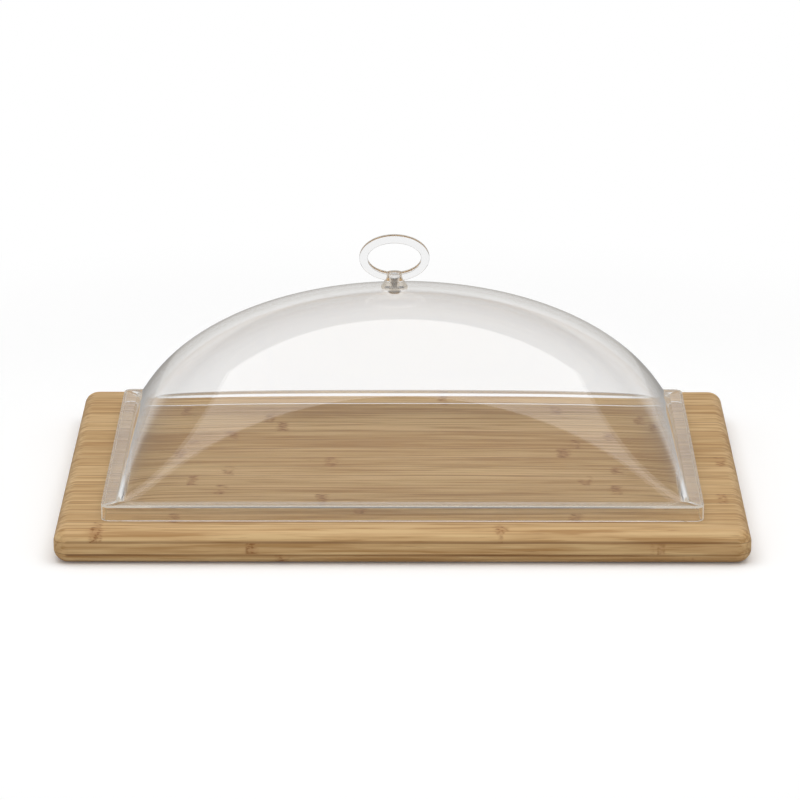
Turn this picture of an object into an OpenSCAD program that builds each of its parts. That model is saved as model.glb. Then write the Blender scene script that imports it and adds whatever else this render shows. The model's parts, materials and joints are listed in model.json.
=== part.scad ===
// Bamboo serving board with a clear, domed cheese cover.
// The board stands on its flat underside at z = 0, centred on the origin; its long side runs along X,
// and its front faces -Y. The cover rests loose on the board and lifts straight up.

/* [Board] */
// Length of the board, along X
board_w = 400; // [300:5:520]
// Depth of the board, along Y
board_d = 280; // [220:5:360]
// Thickness of the board
board_t = 20; // [17:1:30]
// Radius of the rounded top and bottom edges
board_edge_r = 8; // [3:0.5:8]
// Radius of the board's corners, seen from above
board_corner_r = 9; // [8.5:0.5:30]
// Number of bamboo strips side by side in the top and the bottom layer
strips = 16; // [8:1:18]

/* [Cover rim] */
// Bare board left at each end of the cover
end_margin = 26.5; // [10:0.5:50]
// Bare board left in front of the cover
front_margin = 19.5; // [10:0.5:50]
// Bare board left behind the cover
back_margin = 30.5; // [10:0.5:50]
// Height of the upright skirt under the ledge
rim_h = 9.3; // [6:0.1:20]
// Width of the flat ledge between the skirt and the dome wall
ledge_w = 8.2; // [4:0.1:20]
// Radius of the rim's corners, seen from above
rim_corner_r = 5; // [4.5:0.5:20]
// Rounding of the ledge's outer edge
rim_edge_r = 1; // [0.5:0.1:2]
// Thickness of the skirt and the ledge
rim_t = 2.4; // [2:0.1:4]

/* [Dome] */
// Height of the dome above the ledge
dome_h = 98.4; // [50:0.1:150]
// Thickness of the plastic at the foot of the dome wall
wall_t = 2; // [1.8:0.1:5]
// Thickness of the plastic at the crown
crown_t = 2.1; // [1.8:0.1:4]
// Radius of the corners where the dome wall meets the ledge
dome_corner_r = 3; // [3:0.5:15]
// How close to upright the walls stand at the ledge
wall_upright = 0.961; // [0.9:0.001:0.98]
// How full the arch is that runs from end to end
end_fullness = 2.6; // [2:0.1:4]
// How full the arch is that runs from front to back
side_fullness = 2.0; // [1.8:0.1:4]

/* [Handle] */
// How far the handle stands left of the dome's middle
handle_offset = 5; // [0:0.5:10]
// Width of the oval ring, outside
ring_w = 41.5; // [34:0.5:70]
// Height of the oval ring, outside
ring_h = 28; // [22:0.5:60]
// Thickness of the ring, seen from the front
band_w = 5; // [3:0.1:7]
// Depth of the ring, from front to back
band_d = 5.5; // [4:0.1:8]
// Height of the ring's lowest point above the dome
neck_h = 4.4; // [3:0.1:12]
// Radius of the neck at its top
neck_r = 4.75; // [4.2:0.05:8]
// Radius of the foot that sits on the dome
foot_r = 7.9; // [6.5:0.1:15]
// Height of the foot's upright edge
foot_h = 1.2; // [0.8:0.1:3]

/* [Screw] */
// Diameter of the screw
screw_d = 4; // [3:0.5:5]
// Depth that the screw reaches into the handle
screw_grip = 6; // [4:0.5:7]
// Diameter of the screw's head
screw_head_d = 8; // [7:0.5:9]
// Height of the screw's head
screw_head_h = 2.6; // [2:0.1:3.5]
// Width across the arms of the cross recess
recess_w = 4; // [3:0.1:5]
// Gap round the screw where it passes through the dome
screw_clearance = 0.25; // [0.1:0.05:0.5]

/* [Hidden] */
$fn = 64;
ply_t = board_t / 3;
strip_w = board_d / strips;

// Axis of the slab's rounded corners
corner_x = board_w / 2 - board_corner_r;
corner_y = board_d / 2 - board_corner_r;

cover_w = board_w - 2 * end_margin;
cover_d = board_d - front_margin - back_margin;
cover_y = (front_margin - back_margin) / 2;
dome_half_w = cover_w / 2 - ledge_w;
dome_half_d = cover_d / 2 - ledge_w;
hollow_h = dome_h - crown_t + rim_t;

// The foot sits in a shallow round flat that is cut into the crown, so that it meets the dome face to face
seat_cut = 0.35;
seat_clearance = 0.2;
seat_z = board_t + rim_h + dome_h - seat_cut;

// The screw's head bears on a flat cut into the crown's underside
head_seat_cut = 0.15;
head_seat_z = board_t + rim_h + dome_h - crown_t + head_seat_cut;
thread_clearance = 0.05;
blind_end = 0.6;
head_round_r = 1.2;
recess_depth = 1.4;
recess_slot = 0.9;

corner_steps = 4;
side_steps = 14;
ring_points = 4 * (corner_steps + side_steps);
edge_steps = 3;
dome_steps = 20;
ring_steps = 48;
section_steps = 16;
section_squareness = 3.5;
overlap = 1;

top_strips = [for (i = [1:strips]) str("top_strip_", i)];
core_strips = [for (i = [1:strips + 1]) str("core_strip_", i)];
bottom_strips = [for (i = [1:strips]) str("bottom_strip_", i)];

bamboo_tones = ["#C2A06F", "#B8976A", "#C9A878"];
function bamboo_tone(i) = bamboo_tones[(i * i) % len(bamboo_tones)];

// ---- Board: three layers of glued strips, shaped as one slab ----

// The slab's rounded edge, outwards from the corner's axis, between two heights
module edge_section(z0, z1) {
    flat_w = board_corner_r - board_edge_r;
    intersection() {
        union() {
            square([flat_w, board_t]);
            translate([0, board_edge_r]) square([board_corner_r, board_t - 2 * board_edge_r]);
            for (z = [board_edge_r, board_t - board_edge_r]) {
                translate([flat_w, z]) circle(r = board_edge_r);
            }
        }
        translate([0, z0]) square([board_corner_r, z1 - z0]);
    }
}

// A run of one layer from end to end of the board, clear of the rounded corners
module layer_run(y0, y1, z0, z1) {
    translate([0, y1, 0]) rotate([90, 0, 0]) linear_extrude(y1 - y0) {
        for (side = [0, 1]) {
            mirror([side, 0]) translate([corner_x, 0]) edge_section(z0, z1);
        }
        translate([-corner_x, z0]) square([2 * corner_x, z1 - z0]);
    }
}

// One layer along the back edge of the slab, with its two rounded corners
module layer_edge(z0, z1) {
    layer_run(0, corner_y, z0, z1);
    translate([0, corner_y, 0]) rotate([90, 0, 90]) linear_extrude(2 * corner_x, center = true)
        edge_section(z0, z1);
    for (side = [-1, 1]) {
        translate([side * corner_x, corner_y, 0]) rotate_extrude() edge_section(z0, z1);
    }
}

// The part of one layer between two depths; the slab is the same in front and behind
module strip(y0, y1, layer) {
    z0 = layer * ply_t;
    z1 = z0 + ply_t;
    if (max(y1, -y0) <= corner_y) {
        layer_run(y0, y1, z0, z1);
    } else {
        intersection() {
            mirror([0, y0 + y1 < 0 ? 1 : 0, 0]) layer_edge(z0, z1);
            translate([-board_w / 2 - overlap, y0, z0]) cube([board_w + 2 * overlap, y1 - y0, ply_t]);
        }
    }
}

module outer_strip(i, layer) {
    y0 = -board_d / 2 + (i - 1) * strip_w;
    color(bamboo_tone(i)) strip(y0, y0 + strip_w, layer);
}

module top_strip(i) { outer_strip(i, 2); }

module bottom_strip(i) { outer_strip(i, 0); }

// The core's joints lie half a strip off those above and below, so it ends in two half strips
module core_strip(i) {
    y0 = max(-board_d / 2, -board_d / 2 + (i - 1.5) * strip_w);
    y1 = min(board_d / 2, -board_d / 2 + (i - 0.5) * strip_w);
    color(bamboo_tone(i + 1)) strip(y0, y1, 1);
}

// ---- Cover: a thin shell with an upright skirt, a flat ledge and a pillow-shaped dome ----

function bulge(u, fullness) = pow(1 - wall_upright * u * u, 1 / fullness);
function arch(u, fullness) = (bulge(u, fullness) - bulge(1, fullness)) / (1 - bulge(1, fullness));
function pillow(u, v) = arch(min(abs(u), 1), end_fullness) * arch(min(abs(v), 1), side_fullness);

function corner_centre(i, half_w, half_d) = [i == 0 || i == 3 ? half_w : -half_w, i < 2 ? half_d : -half_d];
function on_circle(r, angle) = [r * cos(angle), r * sin(angle)];

// Points round a rounded rectangle, closer together near its corners
function outline(half_w, half_d, r) = [
    for (i = [0:3])
        let (
            centre = corner_centre(i, half_w - r, half_d - r),
            next = corner_centre((i + 1) % 4, half_w - r, half_d - r),
            offset = on_circle(r, 90 * (i + 1))
        )
        each concat(
            [for (j = [0:corner_steps]) centre + on_circle(r, 90 * (i + j / corner_steps))],
            [for (j = [1:side_steps - 1])
                let (t = (1 - cos(180 * j / side_steps)) / 2)
                centre * (1 - t) + next * t + offset]
        )
];

function flat_ring(inset, r, z) = [
    for (p = outline(cover_w / 2 - inset, cover_d / 2 - inset, r)) [p.x, p.y, z]
];

// One ring of a dome: its base outline drawn in by a factor, and lifted to the dome's height there
function dome_ring(half_w, half_d, base_z, height, shrink) = [
    for (p = outline(half_w, half_d, dome_corner_r))
        let (x = shrink * p.x, y = shrink * p.y)
        [x, y, base_z + (shrink < 1 ? height * pillow(x / half_w, y / half_d) : 0)]
];

// The rings crowd together towards the ledge, where the wall is steep
function ring_shrink(j) = sin(90 * j / dome_steps);

// The hollow is a dome of the same form on a narrower, lower base, so the wall keeps nearly one thickness
function inner_rings() = concat(
    [
        for (j = [1:dome_steps])
            dome_ring(dome_half_w - wall_t, dome_half_d - wall_t, rim_h - rim_t, hollow_h, ring_shrink(j))
    ],
    [
        flat_ring(rim_t, rim_corner_r - rim_t, rim_h - rim_t),
        flat_ring(rim_t, rim_corner_r - rim_t, 0)
    ]
);

function outer_rings() = concat(
    [flat_ring(0, rim_corner_r, 0)],
    [
        for (j = [0:edge_steps])
            let (angle = 90 * j / edge_steps, inset = rim_edge_r * (1 - cos(angle)))
            flat_ring(inset, rim_corner_r - inset, rim_h - rim_edge_r * (1 - sin(angle)))
    ],
    [for (j = [dome_steps:-1:1]) dome_ring(dome_half_w, dome_half_d, rim_h, dome_h, ring_shrink(j))]
);

// Triangles that join each ring of n points to the next one
function ring_bands(rings, n) = [
    for (j = [0:rings - 2], k = [0:n - 1])
        let (a = j * n + k, b = j * n + (k + 1) % n)
        each [[a, a + n, b], [b, a + n, b + n]]
];

function fan(first, n, tip, flip) = [
    for (k = [0:n - 1])
        let (a = first + k, b = first + (k + 1) % n)
        flip ? [a, b, tip] : [b, a, tip]
];

module shell() {
    rings = concat(inner_rings(), outer_rings());
    ring_n = len(rings);
    point_n = ring_n * ring_points;
    inner_top = [0, 0, rim_h - rim_t + hollow_h];
    outer_top = [0, 0, rim_h + dome_h];
    polyhedron(
        points = concat([for (ring = rings) each ring], [inner_top, outer_top]),
        faces = concat(
            ring_bands(ring_n, ring_points),
            fan(0, ring_points, point_n, true),
            fan(point_n - ring_points, ring_points, point_n + 1, false)
        )
    );
}

module cover() {
    bore_r = screw_d / 2 + screw_clearance;
    color("#DDE6E8", 0.35) difference() {
        translate([0, cover_y, board_t]) shell();
        at_handle() {
            translate([0, 0, seat_z]) cylinder(r = foot_r + seat_clearance, h = crown_t);
            translate([0, 0, head_seat_z - crown_t]) {
                cylinder(r = bore_r, h = 3 * crown_t);
                cylinder(r = screw_head_d / 2 + seat_clearance, h = crown_t);
            }
        }
    }
}

// ---- Handle: an oval ring on a flared neck, and the screw that holds it from inside ----

module at_handle() {
    translate([-handle_offset, cover_y, 0]) children();
}

// A rounded square, as a closed loop of points about the origin
function section_point(angle) =
    let (
        reach = pow(
            pow(abs(cos(angle)), section_squareness) + pow(abs(sin(angle)), section_squareness),
            -1 / section_squareness
        )
    )
    [reach * cos(angle), reach * sin(angle)];

// Centre line of the ring at an angle, and the direction square to it
function ring_centre(angle) = [(ring_w - band_w) / 2 * cos(angle), 0, (ring_h - band_w) / 2 * sin(angle)];
function ring_normal(angle) =
    let (n = [(ring_h - band_w) * cos(angle), 0, (ring_w - band_w) * sin(angle)])
    n / norm(n);

function ring_section(angle) = [
    for (k = [0:section_steps - 1])
        let (p = section_point(360 * k / section_steps))
        ring_centre(angle) + ring_normal(angle) * p.x * band_w / 2 + [0, p.y * band_d / 2, 0]
];

module oval_ring() {
    points = [for (i = [0:ring_steps - 1]) each ring_section(360 * i / ring_steps)];
    faces = [
        for (i = [0:ring_steps - 1], k = [0:section_steps - 1])
            let (
                next_i = (i + 1) % ring_steps,
                next_k = (k + 1) % section_steps,
                a = i * section_steps + k,
                b = i * section_steps + next_k,
                c = next_i * section_steps + k,
                d = next_i * section_steps + next_k
            )
            each [[a, c, b], [b, c, d]]
    ];
    translate([0, 0, neck_h + ring_h / 2]) polyhedron(points = points, faces = faces);
}

// Half section of the neck: an upright foot, then a hollow curve up to the neck's flat top
module neck_section() {
    neck_top = neck_h + band_w;
    flare_w = foot_r - neck_r;
    flare_h = neck_top - foot_h;
    difference() {
        union() {
            square([neck_r, neck_top]);
            square([foot_r, foot_h]);
            translate([0, foot_h]) polygon([[0, 0], [foot_r, 0], [neck_r, flare_h], [0, flare_h]]);
        }
        translate([flare_centre(flare_w, flare_h), neck_top]) circle(r = flare_radius(flare_w, flare_h));
    }
}

// The hollow curve is the arc that starts upright at the neck's top and ends at the foot's edge
function flare_radius(w, h) = (w * w + h * h) / (2 * w);
function flare_centre(w, h) = neck_r + flare_radius(w, h);

module handle() {
    color("#DDE6E8", 0.35) at_handle() translate([0, 0, seat_z]) difference() {
        union() {
            oval_ring();
            rotate_extrude() neck_section();
        }
        translate([0, 0, -overlap]) cylinder(r = screw_d / 2 + thread_clearance, h = screw_grip + blind_end + overlap);
    }
}

module handle_screw() {
    shank_h = seat_z - head_seat_z + screw_grip;
    color("silver") at_handle() translate([0, 0, head_seat_z]) {
        cylinder(d = screw_d, h = shank_h);
        difference() {
            translate([0, 0, -screw_head_h]) rotate_extrude() head_section();
            for (angle = [0, 90]) {
                rotate(angle) translate([-recess_w / 2, -recess_slot / 2, -screw_head_h - overlap])
                    cube([recess_w, recess_slot, recess_depth + overlap]);
            }
        }
    }
}

// Half section of the pan head, with its rounded edge at the bottom
module head_section() {
    translate([0, head_round_r]) square([screw_head_d / 2, screw_head_h - head_round_r]);
    square([screw_head_d / 2 - head_round_r, head_round_r]);
    translate([screw_head_d / 2 - head_round_r, head_round_r]) intersection() {
        circle(r = head_round_r);
        translate([0, -head_round_r]) square([head_round_r, 2 * head_round_r]);
    }
}

for (i = [1:strips]) {
    top_strip(i);
    bottom_strip(i);
}
for (i = [1:strips + 1]) {
    core_strip(i);
}
cover();
handle();
handle_screw();
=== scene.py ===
"""Looks of the bamboo cheese board with its clear domed cover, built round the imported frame."""

import json
import math

import bpy
import numpy as np
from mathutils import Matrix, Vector


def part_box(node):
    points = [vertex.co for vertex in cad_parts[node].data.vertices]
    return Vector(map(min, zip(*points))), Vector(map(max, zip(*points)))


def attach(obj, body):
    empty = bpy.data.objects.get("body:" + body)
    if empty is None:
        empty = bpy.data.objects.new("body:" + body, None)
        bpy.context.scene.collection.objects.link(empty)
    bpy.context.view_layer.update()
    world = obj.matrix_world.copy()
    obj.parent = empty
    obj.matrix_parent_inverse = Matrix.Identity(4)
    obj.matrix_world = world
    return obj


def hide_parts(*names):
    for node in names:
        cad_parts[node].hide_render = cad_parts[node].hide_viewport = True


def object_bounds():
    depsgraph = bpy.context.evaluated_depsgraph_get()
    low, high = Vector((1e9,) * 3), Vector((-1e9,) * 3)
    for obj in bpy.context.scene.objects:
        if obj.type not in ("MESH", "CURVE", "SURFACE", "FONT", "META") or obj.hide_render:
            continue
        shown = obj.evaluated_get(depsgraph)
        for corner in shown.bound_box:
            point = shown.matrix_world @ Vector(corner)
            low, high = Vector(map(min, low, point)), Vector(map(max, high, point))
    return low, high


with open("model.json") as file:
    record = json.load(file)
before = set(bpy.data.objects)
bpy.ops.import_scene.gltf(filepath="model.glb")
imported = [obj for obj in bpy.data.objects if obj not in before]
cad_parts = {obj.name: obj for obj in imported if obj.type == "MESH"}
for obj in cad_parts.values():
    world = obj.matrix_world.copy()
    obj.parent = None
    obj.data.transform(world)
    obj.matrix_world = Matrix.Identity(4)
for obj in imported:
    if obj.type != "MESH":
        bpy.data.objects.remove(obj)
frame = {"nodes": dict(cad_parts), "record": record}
cad_low, cad_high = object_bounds()

MM = 0.001

# ---- Sizes, in metres; the places come from the frame ----

board_nodes = frame["record"]["behaviour"]["bodies"]["board"]
strips = sum(name.startswith("top_strip") for name in board_nodes)
cover_low, cover_high = (Vector(corner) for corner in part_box("cover"))
handle_low, handle_high = (Vector(corner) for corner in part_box("handle"))
board_low = Vector(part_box("bottom_strip_1")[0])
board_high = Vector(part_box(f"top_strip_{strips}")[1])

PLY_T = (board_high.z - board_low.z) / 3
STRIP_W = (board_high.y - board_low.y) / strips

RIM_H = 9.3 * MM
LEDGE_W = 8.2 * MM
RIM_CORNER_R = 5 * MM
RIM_EDGE_R = 0.6 * MM
RIM_FOOT_R = 0.4 * MM
RIM_T = 1.6 * MM
WALL_T = 2 * MM
CROWN_T = 2.1 * MM
DOME_H = 98.4 * MM
DOME_CORNER_R = 3 * MM
WALL_UPRIGHT = 0.961
END_FULLNESS = 2.6
SIDE_FULLNESS = 2.0

NECK_H = 4.4 * MM
NECK_R = 4.75 * MM
FOOT_R = 7.9 * MM
FOOT_H = 1.2 * MM
BAND_W = 5 * MM
BAND_D = 5.5 * MM
HANDLE_BORE_R = 2.05 * MM
HANDLE_BORE_H = 6.6 * MM

# Reflections inside the plastic after which light caught in it is replaced by a painted glow, an even emission of
# its edges
TRAPPED_AFTER = 1.5


# ---- Node material helpers ----

class Shader:
    """The node tree of a material or of the world, with short ways to add and join its nodes."""

    def __init__(self, owner, output_kind="ShaderNodeOutputMaterial"):
        owner.use_nodes = True
        self.owner = owner
        self.tree = owner.node_tree
        self.tree.nodes.clear()
        self.output = self.tree.nodes.new(output_kind)

    def put(self, socket, value):
        if isinstance(value, bpy.types.NodeSocket):
            self.tree.links.new(value, socket)
        else:
            socket.default_value = value

    def node(self, kind, settings=None, **inputs):
        node = self.tree.nodes.new(kind)
        for name, value in (settings or {}).items():
            setattr(node, name, value)
        for name, value in inputs.items():
            self.put(node.inputs[name.replace("_", " ")], value)
        return node

    def math(self, operation, a, b=None, c=None, clamp=False):
        node = self.tree.nodes.new("ShaderNodeMath")
        node.operation = operation
        node.use_clamp = clamp
        for socket, value in zip(node.inputs, (a, b, c)):
            if value is not None:
                self.put(socket, value)
        return node.outputs[0]

    def vector(self, x, y, z):
        return self.node("ShaderNodeCombineXYZ", X=x, Y=y, Z=z).outputs[0]

    def ramp(self, value, low, high, out_low=0.0, out_high=1.0):
        """Smoothly maps value from low..high to out_low..out_high."""
        node = self.node("ShaderNodeMapRange", {"interpolation_type": "SMOOTHSTEP"})
        for socket, number in zip(node.inputs, (value, low, high, out_low, out_high)):
            self.put(socket, number)
        return node.outputs[0]

    def noise(self, vector, scale=1.0, detail=2.0, roughness=0.5, distortion=0.0):
        node = self.node(
            "ShaderNodeTexNoise",
            Vector=vector,
            Scale=scale,
            Detail=detail,
            Roughness=roughness,
            Distortion=distortion,
        )
        return node.outputs["Fac"]

    def mix(self, share, first, second, blend="MIX"):
        node = self.node("ShaderNodeMix", {"data_type": "RGBA", "blend_type": blend})
        self.put(node.inputs["Factor"], share)
        self.put(node.inputs[6], first)
        self.put(node.inputs[7], second)
        return node.outputs[2]

    def blend(self, share, first, second):
        """A Mix Shader: share 0 shows the first shader, 1 the second."""
        node = self.tree.nodes.new("ShaderNodeMixShader")
        for socket, value in zip(node.inputs, (share, first, second)):
            self.put(socket, value)
        return node.outputs[0]

    def add(self, first, second):
        node = self.tree.nodes.new("ShaderNodeAddShader")
        self.put(node.inputs[0], first)
        self.put(node.inputs[1], second)
        return node.outputs[0]

    def finish(self, surface):
        self.tree.links.new(surface, self.output.inputs["Surface"])
        return self.owner


def linear(*srgb):
    """An sRGB colour of 0 to 255 as the linear colour that sockets take."""
    values = [c / 255 for c in srgb]
    return tuple(c / 12.92 if c <= 0.04045 else ((c + 0.055) / 1.055) ** 2.4 for c in values) + (1.0,)


def bamboo(name, layer, joint_shift):
    """Bamboo strips glued side by side: each has its own tone, fibres, flecks and knuckles."""
    s = Shader(bpy.data.materials.new(name))
    place = s.node("ShaderNodeTexCoord").outputs["Object"]
    split = s.node("ShaderNodeSeparateXYZ", Vector=place)
    x, y, z = split.outputs

    # Number of the strip, and the place across it from 0 to 1
    across = s.math("ADD", s.math("DIVIDE", s.math("SUBTRACT", y, board_low.y), STRIP_W), joint_shift)
    number = s.math("FLOOR", across)
    within = s.math("FRACT", across)
    chance = s.node("ShaderNodeTexWhiteNoise", {"noise_dimensions": "2D"})
    s.put(chance.inputs["Vector"], s.vector(s.math("ADD", number, 0.5), layer + 0.5, 0.0))
    chances = s.node("ShaderNodeSeparateColor", Color=chance.outputs["Color"]).outputs
    own_shift = s.math("MULTIPLY", chance.outputs["Value"], 40.0)

    # Tone of each strip, drifting a little along it
    drift = s.noise(s.vector(s.math("MULTIPLY", x, 5.0), own_shift, layer * 3.7), detail=3.0)
    tone = s.math("ADD", s.math("MULTIPLY", chances[0], 0.75), s.math("MULTIPLY", drift, 0.4))
    colour = s.mix(s.ramp(tone, 0.05, 1.05), linear(185, 146, 96), linear(213, 179, 130))
    blush = s.ramp(s.math("ADD", chances[1], s.math("MULTIPLY", drift, 0.4)), 0.7, 1.3)
    colour = s.mix(s.math("MULTIPLY", blush, 0.25), colour, linear(205, 162, 112))

    # Fibres: fine streaks that run along the strip
    fibre_at = s.vector(
        s.math("ADD", s.math("MULTIPLY", x, 9.0), own_shift),
        s.math("MULTIPLY", y, 620.0),
        s.math("MULTIPLY", z, 620.0),
    )
    fibre = s.noise(fibre_at, detail=4.0, roughness=0.6)
    broad_at = s.vector(
        s.math("ADD", s.math("MULTIPLY", x, 11.0), own_shift),
        s.math("MULTIPLY", y, 300.0),
        s.math("MULTIPLY", z, 300.0),
    )
    broad = s.noise(broad_at, detail=3.0, roughness=0.6, distortion=0.2)
    colour = s.mix(s.ramp(fibre, 0.42, 0.72, 0.0, 0.45), colour, linear(158, 116, 66))
    colour = s.mix(s.ramp(broad, 0.5, 0.62, 0.0, 0.6), colour, linear(162, 118, 66))
    colour = s.mix(s.ramp(broad, 0.48, 0.36, 0.0, 0.5), colour, linear(224, 194, 143))

    # Short brown flecks
    fleck_at = s.vector(
        s.math("ADD", s.math("MULTIPLY", x, 45.0), own_shift),
        s.math("MULTIPLY", y, 1100.0),
        s.math("MULTIPLY", z, 1100.0),
    )
    fleck = s.ramp(s.noise(fleck_at, detail=1.0), 0.66, 0.78)
    colour = s.mix(s.math("MULTIPLY", fleck, 0.45), colour, linear(128, 84, 44))

    # Knuckles: where the cane had its rings, a short band darkens and is broken up by small flecks
    wobble = s.noise(s.vector(s.math("MULTIPLY", x, 90.0), s.math("MULTIPLY", y, 110.0), own_shift), detail=3.0)
    ring = s.math("FRACT", s.math("ADD", s.math("MULTIPLY", x, 4.3), s.math("MULTIPLY", chances[2], 7.0)))
    ring = s.math("ADD", ring, s.math("MULTIPLY", s.math("SUBTRACT", wobble, 0.5), 0.05))
    off_ring = s.math("ABSOLUTE", s.math("SUBTRACT", ring, 0.5))
    knuckle = s.math("MULTIPLY", s.ramp(off_ring, 0.02, 0.005), s.ramp(wobble, 0.36, 0.52))
    knot_at = s.vector(s.math("MULTIPLY", x, 330.0), s.math("MULTIPLY", y, 760.0), s.math("MULTIPLY", z, 760.0))
    knot = s.ramp(s.noise(knot_at, detail=2.0), 0.46, 0.62)
    colour = s.mix(s.math("MULTIPLY", knuckle, 0.45), colour, linear(172, 126, 80))
    colour = s.mix(s.math("MULTIPLY", s.math("MULTIPLY", knuckle, knot), 0.8), colour, linear(136, 88, 46))

    # Glue lines between the strips and between the layers
    from_joint = s.math("MULTIPLY", s.math("MINIMUM", within, s.math("SUBTRACT", 1.0, within)), STRIP_W / MM)
    from_middle = s.math("ABSOLUTE", s.math("SUBTRACT", z, 1.5 * PLY_T))
    from_ply = s.math("MULTIPLY", s.math("ABSOLUTE", s.math("SUBTRACT", from_middle, PLY_T / 2)), 1 / MM)
    seam_strength = s.ramp(s.noise(s.vector(s.math("MULTIPLY", x, 7.0), own_shift, 3.0)), 0.35, 0.65, 0.15, 0.75)
    seam = s.ramp(s.math("MINIMUM", s.math("MULTIPLY", from_joint, 0.6), from_ply), 0.32, 0.05)
    colour = s.mix(s.math("MULTIPLY", seam, seam_strength), colour, linear(108, 68, 34))

    roughness = s.ramp(fibre, 0.2, 0.8, 0.4, 0.55)
    height = s.math("ADD", s.math("MULTIPLY", fibre, 0.6), s.math("MULTIPLY", seam, -1.5))
    bump = s.node("ShaderNodeBump", Height=height, Strength=0.25, Distance=0.00012)
    wood = s.node(
        "ShaderNodeBsdfPrincipled",
        Base_Color=colour,
        Roughness=roughness,
        Normal=bump.outputs[0],
        Specular_IOR_Level=0.22,
    )
    return s.finish(wood.outputs[0])


def clear_acrylic(name, edge_tint_and_shade):
    """Clear moulded plastic, tinted and given painted shade where it is seen edge on, with a painted glow standing
    in for light caught inside it. Lamps shine through it onto what it covers.
    """
    s = Shader(bpy.data.materials.new(name))
    place = s.node("ShaderNodeTexCoord").outputs["Object"]
    haze = s.noise(place, scale=30.0, detail=3.0)
    flow = s.noise(place, scale=14.0, detail=1.0)
    bump = s.node("ShaderNodeBump", Height=flow, Strength=0.05, Distance=0.0004)
    facing = s.node("ShaderNodeLayerWeight", Blend=0.5, Normal=bump.outputs[0]).outputs["Facing"]
    # Seen edge on, the colour turns to the edge colour: partly the plastic's own tint, partly painted shade for the
    # dark outlines that dimmer surroundings give through refraction
    tint_and_edge_shade = s.mix(s.ramp(facing, 0.75, 1.0), (0.993, 0.993, 0.993, 1.0), edge_tint_and_shade)
    plastic = s.node(
        "ShaderNodeBsdfPrincipled",
        Base_Color=tint_and_edge_shade,
        Roughness=s.ramp(haze, 0.3, 0.8, 0.0, 0.006),
        Normal=bump.outputs[0],
        IOR=1.49,
        Transmission_Weight=1.0,
    )
    lit_through = s.node("ShaderNodeBsdfTransparent", Color=(1.0, 1.0, 1.0, 1.0))
    path = s.node("ShaderNodeLightPath")
    trapped = s.math("GREATER_THAN", path.outputs["Glossy Depth"], TRAPPED_AFTER)
    # Painted glow: past TRAPPED_AFTER reflections an even warm emission stands in for light caught inside the sheet
    painted_glow = s.node("ShaderNodeEmission", Color=(0.6, 0.54, 0.46, 1.0), Strength=1.0)
    seen = s.blend(trapped, plastic.outputs[0], painted_glow.outputs[0])
    return s.finish(s.blend(path.outputs["Is Shadow Ray"], seen, lit_through.outputs[0]))


def steel():
    """Bright screw steel with fine turning marks round its axis."""
    s = Shader(bpy.data.materials.new("screw_steel"))
    place = s.node("ShaderNodeTexCoord").outputs["Object"]
    marks = s.noise(place, scale=2500.0, detail=2.0)
    metal = s.node(
        "ShaderNodeBsdfPrincipled",
        Base_Color=s.mix(marks, linear(176, 176, 178), linear(205, 205, 207)),
        Metallic=1.0,
        Roughness=s.ramp(marks, 0.2, 0.8, 0.22, 0.4),
    )
    return s.finish(metal.outputs[0])


def dress(node_name, material):
    """Gives a carried-over CAD node a material in all its slots."""
    piece = frame["nodes"][node_name]
    if not piece.material_slots:
        piece.data.materials.append(material)
    for slot in piece.material_slots:
        slot.material = material


# ---- Mesh helpers ----

def mesh_piece(name, points, faces, material, sharp_angle=math.radians(40)):
    mesh = bpy.data.meshes.new(name)
    mesh.from_pydata([tuple(p) for p in points], [], faces)
    mesh.materials.append(material)
    mesh.shade_smooth()
    mesh.set_sharp_from_angle(angle=sharp_angle)
    mesh.validate()
    piece = bpy.data.objects.new(name, mesh)
    bpy.context.scene.collection.objects.link(piece)
    return piece


def outline(half_w, half_d, r, corner_steps=8, side_steps=52):
    """Points round a rounded rectangle, closer together near its corners."""
    points = []
    for i in range(4):
        def corner(k):
            return np.array([half_w - r if k % 4 in (0, 3) else r - half_w, half_d - r if k % 4 < 2 else r - half_d])
        centre, following = corner(i), corner(i + 1)
        for j in range(corner_steps + 1):
            angle = math.pi / 2 * (i + j / corner_steps)
            points.append(centre + r * np.array([math.cos(angle), math.sin(angle)]))
        offset = r * np.array([math.cos(math.pi / 2 * (i + 1)), math.sin(math.pi / 2 * (i + 1))])
        for j in range(1, side_steps):
            share = (1 - math.cos(math.pi * j / side_steps)) / 2
            points.append(centre * (1 - share) + following * share + offset)
    return np.array(points)


def band_faces(rings, count):
    """Quads that join each ring of points to the next."""
    return [
        (j * count + k, j * count + (k + 1) % count, (j + 1) * count + (k + 1) % count, (j + 1) * count + k)
        for j in range(rings - 1)
        for k in range(count)
    ]


# ---- Cover ----

def arch(u, fullness):
    def bulge(v):
        return (1 - WALL_UPRIGHT * v * v) ** (1 / fullness)
    return (bulge(np.minimum(np.abs(u), 1)) - bulge(1)) / (1 - bulge(1))


def dome_rings(half_w, half_d, base_z, height, steps=90):
    """Rings of a pillow-shaped dome from its foot to its crown."""
    base = outline(half_w, half_d, DOME_CORNER_R)
    rings = []
    for j in range(steps, 0, -1):
        shrunk = base * math.sin(math.pi / 2 * j / steps)
        rise = arch(shrunk[:, 0] / half_w, END_FULLNESS) * arch(shrunk[:, 1] / half_d, SIDE_FULLNESS)
        rings.append(np.column_stack([shrunk, base_z + height * rise]))
    return rings


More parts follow.
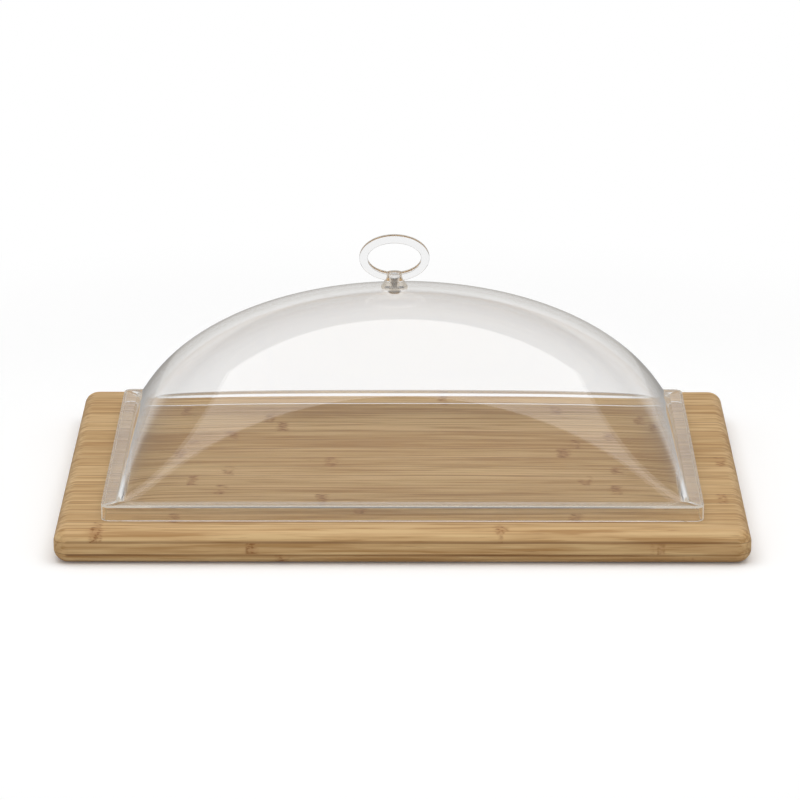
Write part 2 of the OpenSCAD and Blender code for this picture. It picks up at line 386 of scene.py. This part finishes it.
def cover_mesh():
    """The clear shell: skirt, ledge and dome outside, and the hollow inside."""
    half_w = (cover_high.x - cover_low.x) / 2
    half_d = (cover_high.y - cover_low.y) / 2

    def flat_ring(inset, r, z):
        flat = outline(half_w - inset, half_d - inset, r)
        return np.column_stack([flat, np.full(len(flat), z)])

    dome_w = half_w - LEDGE_W
    dome_d = half_d - LEDGE_W
    hollow = dome_rings(dome_w - WALL_T, dome_d - WALL_T, RIM_H - RIM_T, DOME_H - CROWN_T + RIM_T)
    rings = hollow[::-1]
    rings.append(flat_ring(RIM_T, RIM_CORNER_R - RIM_T, RIM_H - RIM_T))
    rings.append(flat_ring(RIM_T, RIM_CORNER_R - RIM_T, RIM_FOOT_R))
    for angle in (0, 30, 60, 90):
        turn = math.radians(angle)
        inset = RIM_T - RIM_FOOT_R * (1 - math.cos(turn))
        rings.append(flat_ring(inset, RIM_CORNER_R - inset, RIM_FOOT_R * (1 - math.sin(turn))))
    for angle in (90, 60, 30, 0):
        turn = math.radians(angle)
        inset = RIM_FOOT_R * (1 - math.cos(turn))
        rings.append(flat_ring(inset, RIM_CORNER_R - inset, RIM_FOOT_R * (1 - math.sin(turn))))
    for angle in range(0, 91, 15):
        turn = math.radians(angle)
        inset = RIM_EDGE_R * (1 - math.cos(turn))
        rings.append(flat_ring(inset, RIM_CORNER_R - inset, RIM_H - RIM_EDGE_R * (1 - math.sin(turn))))
    rings += dome_rings(dome_w, dome_d, RIM_H, DOME_H)
    count = len(rings[0])
    points = np.concatenate(rings)
    points = np.vstack([points, [0, 0, RIM_H + DOME_H - CROWN_T], [0, 0, RIM_H + DOME_H]])
    faces = band_faces(len(rings), count)
    inner_tip = len(points) - 2
    outer_tip = len(points) - 1
    last = (len(rings) - 1) * count
    faces += [((k + 1) % count, k, inner_tip) for k in range(count)]
    faces += [(last + k, last + (k + 1) % count, outer_tip) for k in range(count)]
    points += [(cover_low.x + cover_high.x) / 2, (cover_low.y + cover_high.y) / 2, cover_low.z]
    return points, faces


# ---- Handle ----

def swept_ring():
    """The oval ring, as a rounded square section swept round an ellipse."""
    ring_steps, section_steps, squareness = 160, 48, 3.5
    ring_w = handle_high.x - handle_low.x
    ring_h = handle_high.z - handle_low.z - NECK_H
    centre = Vector(((handle_low.x + handle_high.x) / 2, (handle_low.y + handle_high.y) / 2, handle_high.z - ring_h / 2))
    points = []
    for i in range(ring_steps):
        a = 2 * math.pi * i / ring_steps
        at = centre + Vector(((ring_w - BAND_W) / 2 * math.cos(a), 0, (ring_h - BAND_W) / 2 * math.sin(a)))
        out = Vector(((ring_h - BAND_W) * math.cos(a), 0, (ring_w - BAND_W) * math.sin(a))).normalized()
        for k in range(section_steps):
            b = 2 * math.pi * k / section_steps
            reach = (abs(math.cos(b)) ** squareness + abs(math.sin(b)) ** squareness) ** (-1 / squareness)
            points.append(at + out * (reach * math.cos(b) * BAND_W / 2) + Vector((0, reach * math.sin(b) * BAND_D / 2, 0)))
    faces = []
    for i in range(ring_steps):
        for k in range(section_steps):
            a, b = i * section_steps, (i + 1) % ring_steps * section_steps
            following = (k + 1) % section_steps
            faces.append((a + k, a + following, b + following, b + k))
    return points, faces


def turned(profile, centre, steps=96):
    """A solid of revolution about a vertical axis, from its half profile listed from bottom to top."""
    points = [
        centre + Vector((r * math.cos(2 * math.pi * k / steps), r * math.sin(2 * math.pi * k / steps), z))
        for r, z in profile
        for k in range(steps)
    ]
    faces = band_faces(len(profile), steps)
    faces.append(tuple(reversed(range(steps))))
    faces.append(tuple(range((len(profile) - 1) * steps, len(profile) * steps)))
    return points, faces


def neck_profile():
    """The neck's half section: an upright foot, then a hollow curve up to its flat top."""
    top = NECK_H + BAND_W
    w, h = FOOT_R - NECK_R, top - FOOT_H
    flare_r = (w * w + h * h) / (2 * w)
    profile = [(FOOT_R, 0.0), (FOOT_R, FOOT_H)]
    steps = 24
    for j in range(1, steps + 1):
        z = FOOT_H + h * j / steps
        profile.append((NECK_R + flare_r - math.sqrt(flare_r ** 2 - (top - z) ** 2), z))
    return profile


def boolean(piece, other, operation):
    modifier = piece.modifiers.new(operation, "BOOLEAN")
    modifier.operation = operation
    modifier.object = other
    modifier.solver = "EXACT"
    apply_modifiers(piece)
    bpy.data.objects.remove(other)


def apply_modifiers(piece):
    evaluated = piece.evaluated_get(bpy.context.evaluated_depsgraph_get())
    mesh = bpy.data.meshes.new_from_object(evaluated)
    piece.modifiers.clear()
    piece.data = mesh


def make_handle(material):
    """One clear moulding: the ring and the neck run into each other with a small soft fillet."""
    foot_centre = Vector(((handle_low.x + handle_high.x) / 2, (handle_low.y + handle_high.y) / 2, handle_low.z))
    handle = mesh_piece("handle_clear", *swept_ring(), material)
    boolean(handle, mesh_piece("neck_form", *turned(neck_profile(), foot_centre), material), "UNION")
    hole = [(HANDLE_BORE_R, -1 * MM), (HANDLE_BORE_R, HANDLE_BORE_H)]
    boolean(handle, mesh_piece("bore_form", *turned(hole, foot_centre), material), "DIFFERENCE")
    remesh = handle.modifiers.new("even", "REMESH")
    remesh.mode = "VOXEL"
    remesh.voxel_size = 0.22 * MM
    soften = handle.modifiers.new("soften", "SMOOTH")
    soften.factor = 0.5
    soften.iterations = 12
    apply_modifiers(handle)
    handle.data.shade_smooth()
    return handle


# ---- Build ----

# The second colour is the edge tint with painted edge shade; the handle's is darker for its painted dark outlines
cover_plastic = clear_acrylic("cover_acrylic", linear(205, 207, 210))
handle_plastic = clear_acrylic("handle_acrylic", linear(120, 123, 128))
board_materials = {
    "top_strip": bamboo("bamboo_top", 3.0, 0.0),
    "core_strip": bamboo("bamboo_core", 2.0, 0.5),
    "bottom_strip": bamboo("bamboo_bottom", 1.0, 0.0),
}
for node_name in board_nodes:
    dress(node_name, board_materials[node_name.rsplit("_", 1)[0]])
dress("handle_screw", steel())

cover = mesh_piece("cover_clear", *cover_mesh(), cover_plastic)
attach(cover, "cover")
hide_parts("cover")

handle = make_handle(handle_plastic)
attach(handle, "cover")
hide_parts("handle")


# ---- Stage, light and camera ----

def bent_ray(s, path):
    """1 for a view that gloss or clear plastic has turned aside, 0 for light on its way to a matt surface."""
    bent = s.math("MAXIMUM", path.outputs["Is Glossy Ray"], path.outputs["Is Transmission Ray"])
    return s.math("MULTIPLY", bent, s.math("LESS_THAN", path.outputs["Diffuse Depth"], 0.5))


def floor_material():
    """White floor. Seen straight it keeps the shadow and turns pure white farther off. Mirrored or through
    plastic it is white behind the object, and dimmer in front of it and beside it."""
    s = Shader(bpy.data.materials.new("studio_floor"))
    path = s.node("ShaderNodeLightPath")
    place = s.node("ShaderNodeTexCoord").outputs["Object"]
    x, y, z = s.node("ShaderNodeSeparateXYZ", Vector=place).outputs
    distance = s.node("ShaderNodeVectorMath", {"operation": "LENGTH"})
    s.put(distance.inputs[0], place)
    far = s.ramp(distance.outputs["Value"], 0.28, 0.6)
    near = s.node("ShaderNodeBsdfDiffuse", Color=(1.0, 1.0, 1.0, 1.0))
    lift = s.node("ShaderNodeEmission", Strength=FLOOR_LIFT)
    white = s.node("ShaderNodeEmission", Strength=1.0)
    straight = s.blend(far, s.add(near.outputs[0], lift.outputs[0]), white.outputs[0])
    beside = s.math("ABSOLUTE", x)
    behind_through = s.math("SUBTRACT", y, s.math("MULTIPLY", beside, 0.8))
    behind_mirrored = s.math("SUBTRACT", y, s.math("MULTIPLY", beside, 2.0))
    through_level = s.ramp(behind_through, -0.25, -0.05, FRONT_LEVEL, THROUGH_LEVEL)
    through = s.node("ShaderNodeEmission", Strength=through_level)
    mirrored_level = s.ramp(behind_mirrored, 0.0, 0.12, FRONT_LEVEL, MIRRORED_LEVEL)
    mirrored = s.node("ShaderNodeEmission", Strength=mirrored_level)
    matt = s.node("ShaderNodeBsdfDiffuse", Color=(0.78, 0.78, 0.78, 1.0))
    bent = s.blend(path.outputs["Is Transmission Ray"], mirrored.outputs[0], through.outputs[0])
    lighting = s.blend(bent_ray(s, path), matt.outputs[0], bent)
    return s.finish(s.blend(path.outputs["Is Camera Ray"], lighting, straight))


def make_floor():
    half = 12.0
    mesh = bpy.data.meshes.new("floor")
    z = cad_low[2]
    mesh.from_pydata([(-half, -half, z), (half, -half, z), (half, half, z), (-half, half, z)], [], [(0, 1, 2, 3)])
    mesh.materials.append(floor_material())
    floor = bpy.data.objects.new("floor", mesh)
    bpy.context.scene.collection.objects.link(floor)


def make_world():
    """A studio: white for the camera, an even fill for matt surfaces, and for gloss and clear plastic a room that
    is white behind the object, pale in front of it and dimmer above and beside it."""
    world = bpy.data.worlds.new("studio")
    bpy.context.scene.world = world
    s = Shader(world, "ShaderNodeOutputWorld")
    path = s.node("ShaderNodeLightPath")
    direction = s.node("ShaderNodeTexCoord").outputs["Generated"]
    x, y, z = s.node("ShaderNodeSeparateXYZ", Vector=direction).outputs
    backdrop = s.math("MULTIPLY", s.ramp(y, 0.75, 0.9), s.ramp(z, 0.42, 0.33))
    front = s.ramp(y, -0.15, -0.5)
    room = s.math("ADD", ROOM_LEVEL, s.math("MULTIPLY", front, FRONT_LEVEL - ROOM_LEVEL))
    white = s.math("ADD", s.math("MULTIPLY", path.outputs["Is Transmission Ray"], THROUGH_LEVEL - MIRRORED_LEVEL), MIRRORED_LEVEL)
    room = s.math("ADD", room, s.math("MULTIPLY", backdrop, s.math("SUBTRACT", white, room)))
    seen = s.node("ShaderNodeBackground", Strength=1.0)
    mirrored = s.node("ShaderNodeBackground", Strength=room)
    fill = s.node("ShaderNodeBackground", Strength=FILL_LEVEL)
    for background in (seen, mirrored, fill):
        background.inputs["Color"].default_value = (1.0, 1.0, 1.0, 1.0)
    lighting = s.blend(bent_ray(s, path), fill.outputs[0], mirrored.outputs[0])
    s.finish(s.blend(path.outputs["Is Camera Ray"], lighting, seen.outputs[0]))


def softbox(name, place, target, size, radiance, in_gloss=True):
    """A rectangular lamp that faces target and looks as bright as radiance says."""
    lamp = bpy.data.lights.new(name, "AREA")
    lamp.shape = "RECTANGLE"
    lamp.size, lamp.size_y = size
    lamp.energy = radiance * math.pi * size[0] * size[1]
    holder = bpy.data.objects.new(name, lamp)
    holder.location = place
    aim = Vector(target) - Vector(place)
    holder.rotation_euler = aim.to_track_quat("-Z", "Y").to_euler()
    holder.visible_glossy = in_gloss
    holder.visible_transmission = in_gloss
    holder.visible_camera = False
    bpy.context.scene.collection.objects.link(holder)
    return holder


def make_camera():
    """A long lens, a little above the board, nearly square to its front."""
    turn = math.radians(CAMERA_TURN)
    tilt = math.radians(CAMERA_TILT)
    camera = bpy.data.cameras.new("camera")
    camera.lens = CAMERA_LENS
    camera.sensor_width = 36.0
    camera.clip_end = 100.0
    holder = bpy.data.objects.new("camera", camera)
    back = Vector((math.sin(turn) * math.cos(tilt), -math.cos(turn) * math.cos(tilt), math.sin(tilt)))
    holder.location = Vector(CAMERA_AIM) + back * CAMERA_DISTANCE
    holder.rotation_euler = (math.pi / 2 - tilt, 0.0, turn)
    bpy.context.scene.collection.objects.link(holder)
    bpy.context.scene.camera = holder


ROOM_LEVEL = 0.25
FRONT_LEVEL = 0.3
THROUGH_LEVEL = 0.94
MIRRORED_LEVEL = 0.5
FILL_LEVEL = 0.54
FLOOR_LIFT = 0.05
CAMERA_AIM = (-0.0017, 0.0, 0.0559)
CAMERA_DISTANCE = 2.678
CAMERA_TILT = 17.2
CAMERA_TURN = 0.146
CAMERA_LENS = 201.47

make_floor()
make_world()
softbox("overhead_softbox", (0.0, -0.15, 1.3), (0.0, -0.15, 0.0), (1.72, 1.4), 1.4)
softbox("front_fill", (0.0, -2.2, 1.4), (0.0, 0.0, 0.0), (2.0, 1.0), 0.5, in_gloss=False)
make_camera()
bpy.context.scene.view_settings.view_transform = "Standard"
